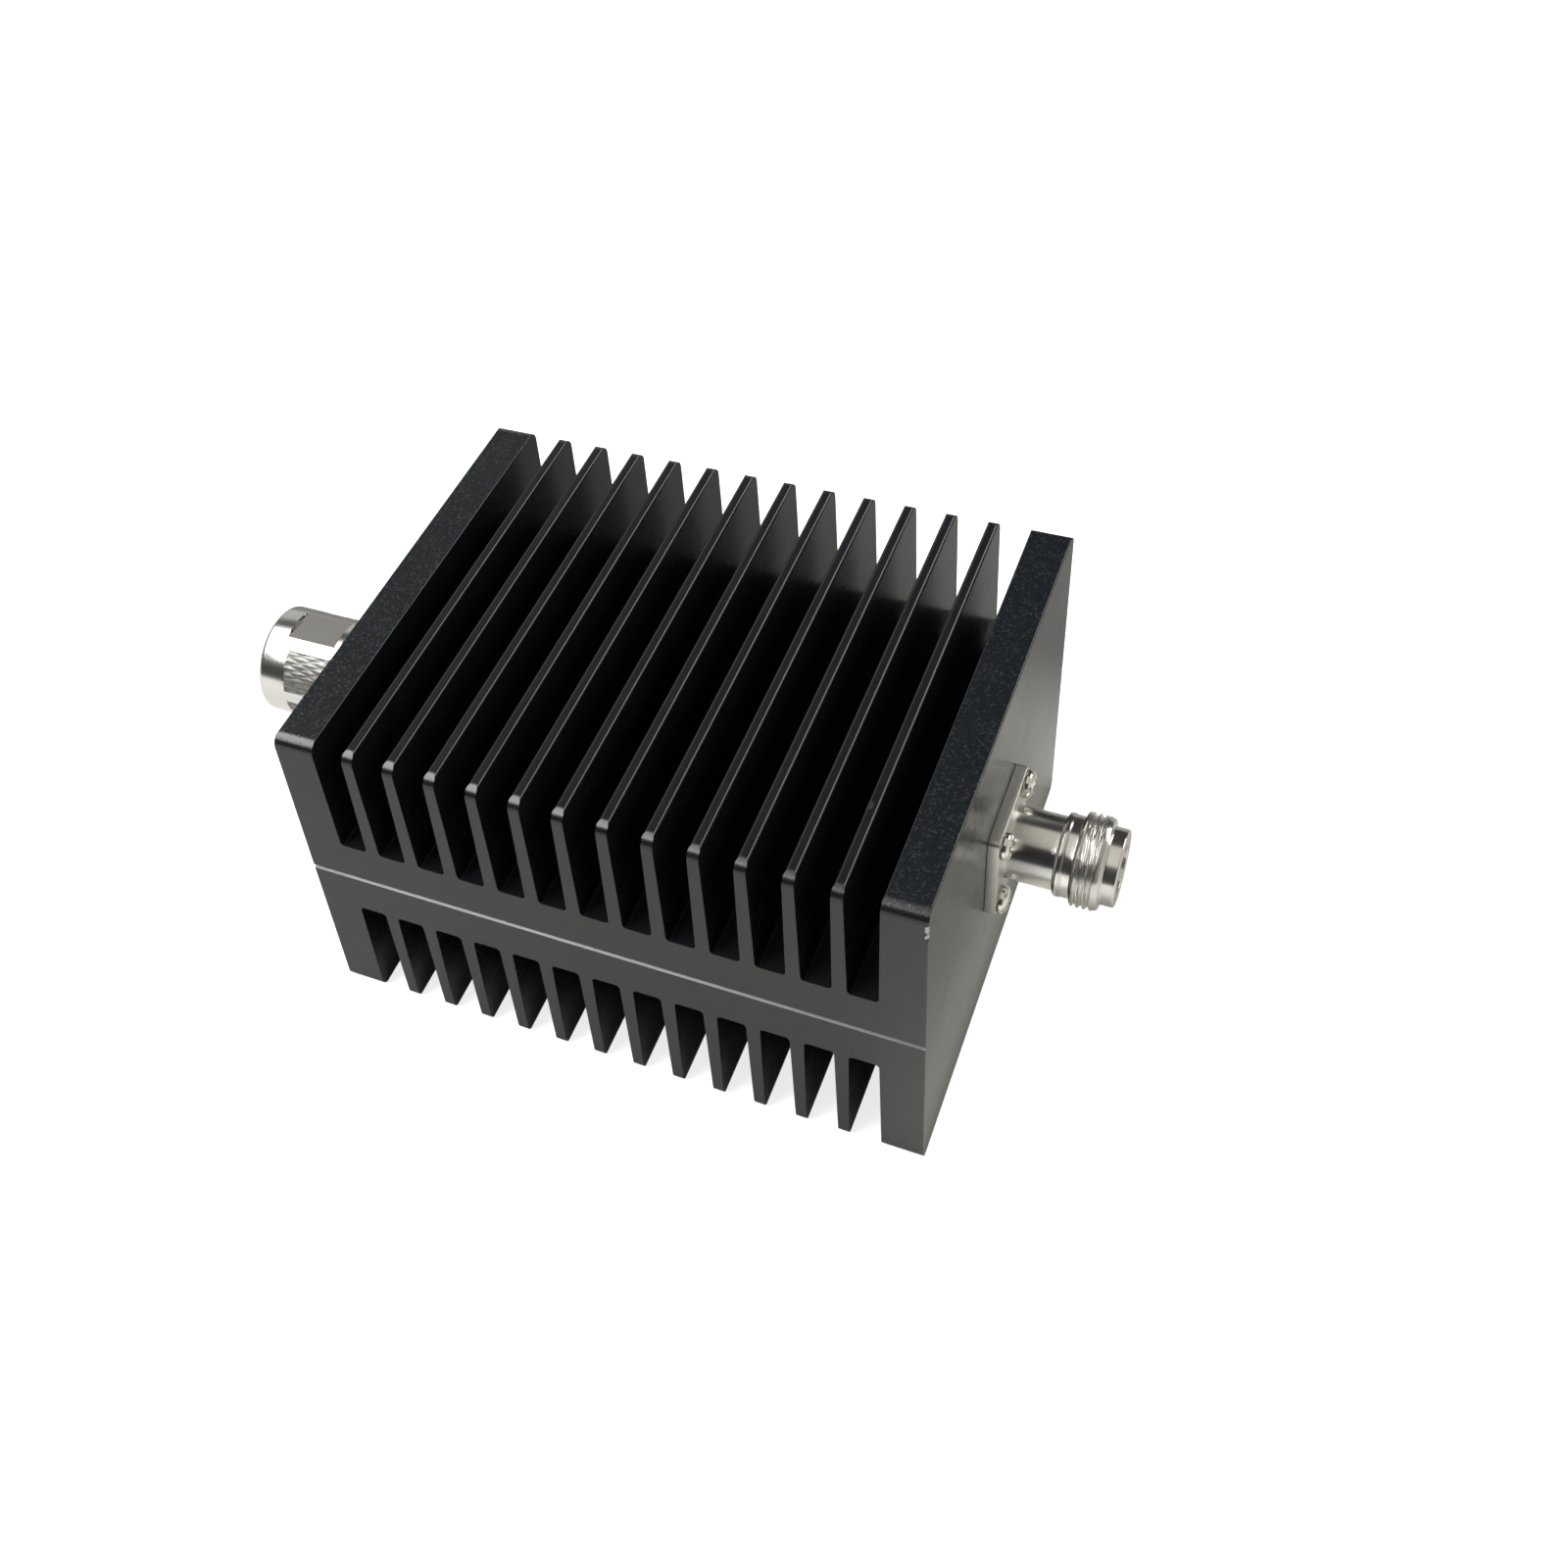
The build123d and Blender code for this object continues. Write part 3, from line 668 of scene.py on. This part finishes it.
hairline = (0.09 * mm - abs(black.z - joint_height - 0.09 * mm)).step(-0.03 * mm, 0.03 * mm)
ragged = black.noise(0.5, detail=3) * 0.5 * mm
from_nick = [distance_to(black, spot) for spot in nick_spots]
nearest_nick = from_nick[0].least(from_nick[1]).least(from_nick[2])
nick = (0.78 * mm - ragged - nearest_nick).step(-0.1 * mm, 0.1 * mm)
pit_spot = (body_middle + 39.8 * mm, -25.4 * mm, top_height)
pit = (1.0 * mm - distance_to(black, pit_spot)).step(0, 0.15 * mm)
# The facet just under the joint gets a lighter colour: a painted highlight of the soft box.
joint_highlight = black.nz.step(0.5, 0.6) * (abs(black.z - joint_height) < 0.6 * mm)
# A thin band along the upright corner, broken by noise, is painted lighter: a painted highlight for the
# light a rounded edge would catch.
corner_far = (abs(black.x - body_middle) - (right_face - body_middle)).least(abs(black.y) - half_width)
corner_highlight = (corner_far + 0.3 * mm).step(0, 0.2 * mm) * black.noise(1.2, detail=3).step(0.3, 0.6)
bare = nick * 0.8

dye = black.blend(cloud, (0.0055, 0.0062, 0.0075), (0.008, 0.0088, 0.0102))
dye = black.blend(wall_top, dye, (0.0065, 0.0085, 0.0105))
dye = black.blend(sawn, dye, (0.0105, 0.0105, 0.011))
dye = black.blend(speck * 0.6, dye, (0.04, 0.043, 0.048))
# The next two blends paint highlights into the colour: a broken light line on the upright corner and a
# lighter joint facet.
dye = black.blend(corner_highlight * 0.3, dye, (0.12, 0.12, 0.12))
dye = black.blend(joint_highlight, dye, (0.21, 0.21, 0.21))
dye = black.blend(hairline, dye, (0.002, 0.002, 0.002))
metal_colour = black.blend(grain, (0.5, 0.5, 0.5), (0.72, 0.72, 0.72))
colour = black.blend(bare, dye, metal_colour)
roughness = 0.2 + 0.08 * lines + sawn * (0.17 + 0.08 * grain) - 0.05 * speck + 0.05 * cloud
roughness = roughness * (1 - bare) + bare * (0.28 + 0.2 * grain) + pit * 0.5
relief = lines * (1 - sawn) * 0.35 + grain * (0.12 + 0.68 * sawn) + speck * 0.9
black.use(
    Base_Color=colour,
    Roughness=roughness,
    Metallic=bare,
    Normal=black.bump(relief, 0.012),
)
print("black anodising nodes", len(black.tree.nodes))

# %% [markdown]
# ## Bright nickel
# The connectors are brass under bright nickel. Turning leaves rings finer than the eye can
# count, which draw every highlight out across the axis. Rings are noise read along the axis
# on a barrel, and along the radius on a front face, so the two are added. Fingers leave soft
# cloudy patches that are a little duller.

# %% Nickel for turned, milled and knurled pieces


def knurled_share(finish):
    """1 on the nut's knurled panels, 0 elsewhere: near one of two turns that repeat every half
    turn, between the panel's ends, and not inside the bore."""
    out = (left_face - finish.x) * (1 / mm)
    across = finish.z - axis_height
    angle = across.maths("ARCTAN2", finish.y)
    away = [(angle - float(turn)).maths("PINGPONG", math.pi / 2) for turn in panel_turns[:2]]
    side = panel_half - away[0].least(away[1])
    end = (out - grip_rear).least(knurl_front - out)
    outside = (finish.y * finish.y + across * across) ** 0.5 > 9.0 * mm
    return side.step(0.0, 0.03) * end.step(0.0, 0.2) * outside


def flat_share(finish):
    """1 on the nut's wrench flats, 0 elsewhere: where y cos t + z sin t, with z from the axis,
    is the flat's distance and no more."""
    reach = abs(finish.y * math.cos(flat_turn) + (finish.z - axis_height) * math.sin(flat_turn))
    out = (left_face - finish.x) * (1 / mm)
    return (abs(reach - flat_distance * mm) < 0.02 * mm) * (out > grip_rear) * (out < grip_front)


def nickel_finish(name, turned_rings, base=(0.79, 0.775, 0.745), shine=0.13, knurled=False):
    """Nickel whose rings may be left out on a milled face. Knurled panels are duller, and their
    colour is painted darker in streaks: a painted shade over the knurl."""
    finish = Finish(name, Metallic=1.0)
    across = finish.z - axis_height
    radius = (finish.y * finish.y + across * across) ** 0.5
    smudge = finish.noise(3.5, detail=4, rough=0.6)
    fine = finish.noise(0.3, detail=3, rough=0.7)
    if turned_rings:
        groove = finish.vector(finish.x + 0.9 * radius, 0.0, 0.0)
        rings = finish.noise(0.09, detail=4, rough=0.8, at=groove)
    else:
        rings = finish.noise(0.12, detail=3, rough=0.7, stretch=(1, 30, 1))
    tint = finish.blend(smudge, base, tuple(c * 0.93 for c in base))
    roughness = shine + 0.07 * smudge + 0.05 * rings + 0.02 * fine
    if turned_rings:
        thread_start, thread_end = right_face + 13.4 * mm, right_face + 16.6 * mm
        roughness = roughness + (finish.x > thread_start) * (finish.x < thread_end) * 0.06
    if knurled:
        panel = knurled_share(finish)
        streaks = finish.noise(0.3, detail=3, rough=0.7, stretch=(7, 1, 1))
        # The knurled panels are painted darker in streaks, a painted shade that keeps the lamp's band from
        # shining white on them.
        knurl_shade = finish.blend(streaks.step(0.3, 0.7), (0.13, 0.127, 0.12), (0.42, 0.41, 0.385))
        tint = finish.blend(panel, tint, knurl_shade)
        flat = flat_share(finish)
        tint = finish.blend(flat, tint, (0.4, 0.385, 0.355))
        roughness = roughness + panel * (0.26 + 0.1 * streaks) + flat * 0.24
    height = rings * 0.8 + fine * 0.2
    finish.use(Base_Color=tint, Roughness=roughness, Normal=finish.bump(height, 0.004))
    return finish.material


turned_nickel = nickel_finish("turned_nickel", True)
knurled_nickel = nickel_finish("knurled_nickel", True, knurled=True)
milled_nickel = nickel_finish("milled_nickel", False, base=(0.72, 0.705, 0.665), shine=0.34)
zinc_steel = nickel_finish("zinc_steel", False, base=(0.88, 0.86, 0.8), shine=0.14)

# %% [markdown]
# ## The pieces inside and under
# The contacts are gold plated, the beads are white PTFE, the seal is red silicone, and inside
# the box lie copper, ceramic, silver and laminate. They hardly show, but they are real
# pieces, so each gets its own plain finish with a little grain of its own.

# %% Small finishes


def small_finish(name, low, high, metallic, rough_low, rough_high, size, depth):
    """Two tones and two roughnesses mixed by one grain, with a faint relief."""
    finish = Finish(name, Metallic=metallic)
    grain = finish.noise(size, detail=3, rough=0.6)
    finish.use(
        Base_Color=finish.blend(grain, low, high),
        Roughness=rough_low + (rough_high - rough_low) * grain,
        Normal=finish.bump(grain, depth),
    )
    return finish.material


gold = small_finish("gold_plate", (0.9, 0.66, 0.28), (0.95, 0.74, 0.36), 1.0, 0.18, 0.3, 0.3, 0.003)
ptfe = small_finish("white_ptfe", (0.86, 0.86, 0.84), (0.92, 0.92, 0.9), 0.0, 0.35, 0.5, 0.5, 0.005)
silicone = small_finish("red_silicone", (0.42, 0.06, 0.04), (0.5, 0.09, 0.06), 0.0, 0.5, 0.65, 0.4, 0.01)
copper = small_finish("plated_copper", (0.72, 0.66, 0.56), (0.8, 0.73, 0.62), 1.0, 0.25, 0.4, 0.3, 0.004)
ceramic = small_finish("fired_ceramic", (0.82, 0.81, 0.78), (0.9, 0.89, 0.86), 0.0, 0.45, 0.6, 0.2, 0.006)
silver = small_finish("silver_strip", (0.82, 0.81, 0.78), (0.9, 0.89, 0.87), 1.0, 0.2, 0.35, 0.3, 0.003)
laminate = small_finish("glass_laminate", (0.62, 0.58, 0.42), (0.72, 0.68, 0.52), 0.0, 0.4, 0.55, 0.3, 0.006)
oxide_low, oxide_high = (0.012, 0.012, 0.013), (0.03, 0.03, 0.032)
black_oxide = small_finish("black_oxide", oxide_low, oxide_high, 0.6, 0.3, 0.45, 0.3, 0.006)

# %% [markdown]
# ## Giving each piece its finish
# A solid from the frame keeps its mesh and only gets a material in its slots. New pieces get
# theirs the same way, so one table serves all.

# %% The table of finishes
finish_of = {
    "upper_heat_sink": black.material, "lower_heat_sink": black.material, "case_screws": black_oxide,
    "socket_insulator": ptfe, "socket_contact": gold, "plug_body": turned_nickel,
    "plug_sleeve": turned_nickel, "plug_insulator": ptfe, "plug_pin": gold, "plug_gasket": silicone,
    "snap_ring": zinc_steel, "resistor_flange": copper, "film_substrate": ceramic,
    "film_cover": ceramic, "input_tab": silver, "output_tab": silver, "resistor_washers": zinc_steel,
    "resistor_screws": zinc_steel, "input_line_board": laminate, "output_line_board": laminate,
    "board_screws": zinc_steel, "socket_shell": turned_nickel, "coupling_nut": turned_nickel,
    "socket_flange_screws": zinc_steel, "plug_flange_screws": zinc_steel,
    "socket_barrel": turned_nickel, "socket_flange": milled_nickel, "knurled_nut": knurled_nickel,
    "socket_screws": zinc_steel, "plug_screws": zinc_steel,
}
for name, material in finish_of.items():
    mesh = bpy.data.objects[name].data
    mesh.materials.clear()
    mesh.materials.append(material)
print("finishes given", len(finish_of))

# %% [markdown]
# ## The floor
# The photograph's ground is white. A white floor lit from above never quite reaches white in
# the picture, so the floor adds a glow of its own where the camera looks straight at it. The
# object's shadow still falls on it.
#
# What metal and black finishes mirror of the floor is set apart from what the camera sees, and
# it is much darker: nearly black in front, grey behind the box, beige beside its right face.
# These patches follow the box's edges and were tuned to this one photograph's levels. They
# stand in for a room that nobody measured, so another scene should replace them. The floor
# also ends a forearm's length in front: what the rounded ends of the fins mirror beyond that
# edge is dark, and that draws the thin black line under each highlight.

# %% White floor
table_side = 1.8
table_front = -0.42
table_back = 2.6
corner_points = [
    (-table_side, table_front, 0), (table_side, table_front, 0),
    (table_side, table_back, 0), (-table_side, table_back, 0),
]
floor_mesh = bpy.data.meshes.new("floor")
floor_mesh.from_pydata(corner_points, [], [(0, 1, 2, 3)])
floor = bpy.data.objects.new("floor", floor_mesh)
bpy.context.scene.collection.objects.link(floor)

floor_finish = Finish("white_floor", Roughness=0.9, Specular_IOR_Level=0.1)
path = floor_finish.tree.nodes.new("ShaderNodeLightPath")
seen = Wire(floor_finish.tree, path.outputs["Is Camera Ray"])
mirrored = Wire(floor_finish.tree, path.outputs["Is Glossy Ray"])
through = Wire(floor_finish.tree, path.outputs["Is Transmission Ray"])
floor_grain = floor_finish.noise(2.0, detail=3)
out_x = abs(floor_finish.x - body_middle) - (right_face - body_middle)
out_y = abs(floor_finish.y) - half_width
beside = out_x.most(out_y).step(-2 * mm, 4 * mm)
window_side = floor_finish.x.step(right_face - 16 * mm, right_face - 6 * mm)
dimmer = out_x.step(3 * mm, 12 * mm) * (1 - floor_finish.y.step(40 * mm, 90 * mm))
window_glow = floor_finish.blend(dimmer, (0.4, 0.4, 0.35), (0.02, 0.02, 0.015))
mirror_glow = floor_finish.blend(window_side, (0.01, 0.01, 0.01), window_glow)
behind = floor_finish.y.step(half_width, half_width + 20 * mm) * (1 - window_side)
behind = behind.most(0.85 * floor_finish.y.step(half_width + 5 * mm, half_width + 40 * mm))
mirror_glow = floor_finish.blend(beside * (1 - behind), (0, 0, 0), mirror_glow)
glow = floor_finish.blend((mirrored + through).least(1.0), (0, 0, 0), mirror_glow)
glow = floor_finish.blend(seen, glow, (0.78, 0.78, 0.78))
floor_finish.shader.inputs["Emission Strength"].default_value = 1.0
paper = floor_finish.blend(floor_grain, (0.71, 0.71, 0.7), (0.73, 0.73, 0.72))
floor_finish.use(
    Base_Color=floor_finish.blend(mirrored * behind, paper, (0.2, 0.2, 0.2)),
    Emission_Color=glow,
)
floor_mesh.materials.append(floor_finish.material)
print("table", table_side * 2, "by", table_back - table_front, "m")

# %% [markdown]
# ## The room
# Black and nickel show the room more than themselves, and the photograph doesn't show its
# room. So the one here is a guess, tuned to the photograph's levels. The sky is white for the
# camera, and for all else, mirrors too, grey low at the back, beige overhead and on the right,
# and nearly dark elsewhere. A long soft box hangs on the left: its image is the white band on
# the nut, the bright line along the joint, which a painted highlight on the joint's facet
# strengthens, and the sparkle on the ends of the fins. A weaker one at the far right draws
# the thin line along each tip.

# %% White horizon, dim room
world = bpy.data.worlds.new("studio")
bpy.context.scene.world = world
world.use_nodes = True
sky = world.node_tree
for node in list(sky.nodes):
    sky.nodes.remove(node)
start = Wire(sky, None)
toward = start.node("ShaderNodeTexCoord", out="Generated")
toward_right = start.node("ShaderNodeSeparateXYZ", None, {"Vector": toward}, out="X")
toward_back = start.node("ShaderNodeSeparateXYZ", None, {"Vector": toward}, out="Y")
upward = start.node("ShaderNodeSeparateXYZ", None, {"Vector": toward}, out="Z")
light_path = sky.nodes.new("ShaderNodeLightPath")
camera_ray = Wire(sky, light_path.outputs["Is Camera Ray"])
low_behind = toward_back.step(-0.1, 0.45) * (1 - upward.step(0.5, 0.64))
low_behind = low_behind * (1 - toward_right.step(-0.4, -0.15))
ceiling = upward.step(0.72, 0.8) * (1 - toward_back.step(0.32, 0.42)) * (1 - toward_right.step(0.2, 0.6))
right_wall = toward_right.step(0.35, 0.75)
level = 0.04 + 0.5 * low_behind + 0.6 * ceiling + 0.55 * right_wall
level = camera_ray + level * (1 - camera_ray)
beige = (ceiling + right_wall).least(1.0) * (1 - camera_ray)
tint = start.node("ShaderNodeCombineXYZ", None, {"X": 1.0, "Y": 1 - 0.03 * beige, "Z": 1 - 0.13 * beige})
backdrop = start.node("ShaderNodeBackground", None, {"Color": tint, "Strength": level})
output = sky.nodes.new("ShaderNodeOutputWorld")
sky.links.new(backdrop.socket, output.inputs["Surface"])
print("sky nodes", len(sky.nodes))

# %% Soft lamps


def lamp(name, direction, distance, size, power, along=(0, 0, 1), colour=(1, 1, 1)):
    """A soft box at a distance along a direction, turned to face the object. Its first size
    runs along the part of the given line that is square to that direction."""
    light = bpy.data.lights.new(name, "AREA")
    light.shape = "RECTANGLE"
    light.size, light.size_y = size
    light.energy = power
    light.color = colour
    holder = bpy.data.objects.new(name, light)
    target = np.array([body_middle, 0.0, axis_height])
    away = np.array(direction, float) / np.linalg.norm(direction)
    spot = target + away * distance
    side = np.array(along, float) - np.dot(along, away) * away
    side /= np.linalg.norm(side)
    up = np.cross(away, side)
    rows = np.column_stack([side, up, away, spot]).tolist()
    holder.matrix_world = Matrix(rows + [[0, 0, 0, 1]])
    bpy.context.scene.collection.objects.link(holder)
    print(name, [round(float(v), 2) for v in spot])
    return holder


key_lamp = lamp("key_lamp", (-0.46, -0.27, 0.85), 0.95, (1.06, 0.4), 11.2, along=(0, 1, 0))
warm = (1.0, 0.98, 0.94)
side_lamp = lamp("side_lamp", (0.55, 0.62, 0.56), 1.1, (0.6, 0.35), 3.4, (0, 1, 0), warm)

# %% [markdown]
# ## The camera
# The camera stands where the photographer's stood, found by fitting the body's corners, fins
# and joint to the picture. The object sits off the picture's middle, which a lens shift gives
# without turning the camera.

# %% Camera at the photograph's place
camera_data = bpy.data.cameras.new("camera")
camera_data.sensor_width = 36
camera_data.lens = 42.689
camera_data.shift_x = 0.12371
camera_data.shift_y = -0.10994
camera_data.clip_start = 0.01
camera_data.clip_end = 20
camera = bpy.data.objects.new("camera", camera_data)
right_hand = (0.90798, 0.40434, -0.10993)
upright = (-0.20682, 0.66062, 0.72167)
backward = (0.36443, -0.63252, 0.68346)
stand = (body_middle + 97.03 * mm, -197.51 * mm, 278.59 * mm)
turn_and_place = np.column_stack([right_hand, upright, backward, stand]).tolist()
camera.matrix_world = Matrix(turn_and_place + [[0, 0, 0, 1]])
bpy.context.scene.collection.objects.link(camera)
bpy.context.scene.camera = camera
bpy.context.scene.view_settings.view_transform = "Standard"
print("camera", [round(v / mm) for v in stand])
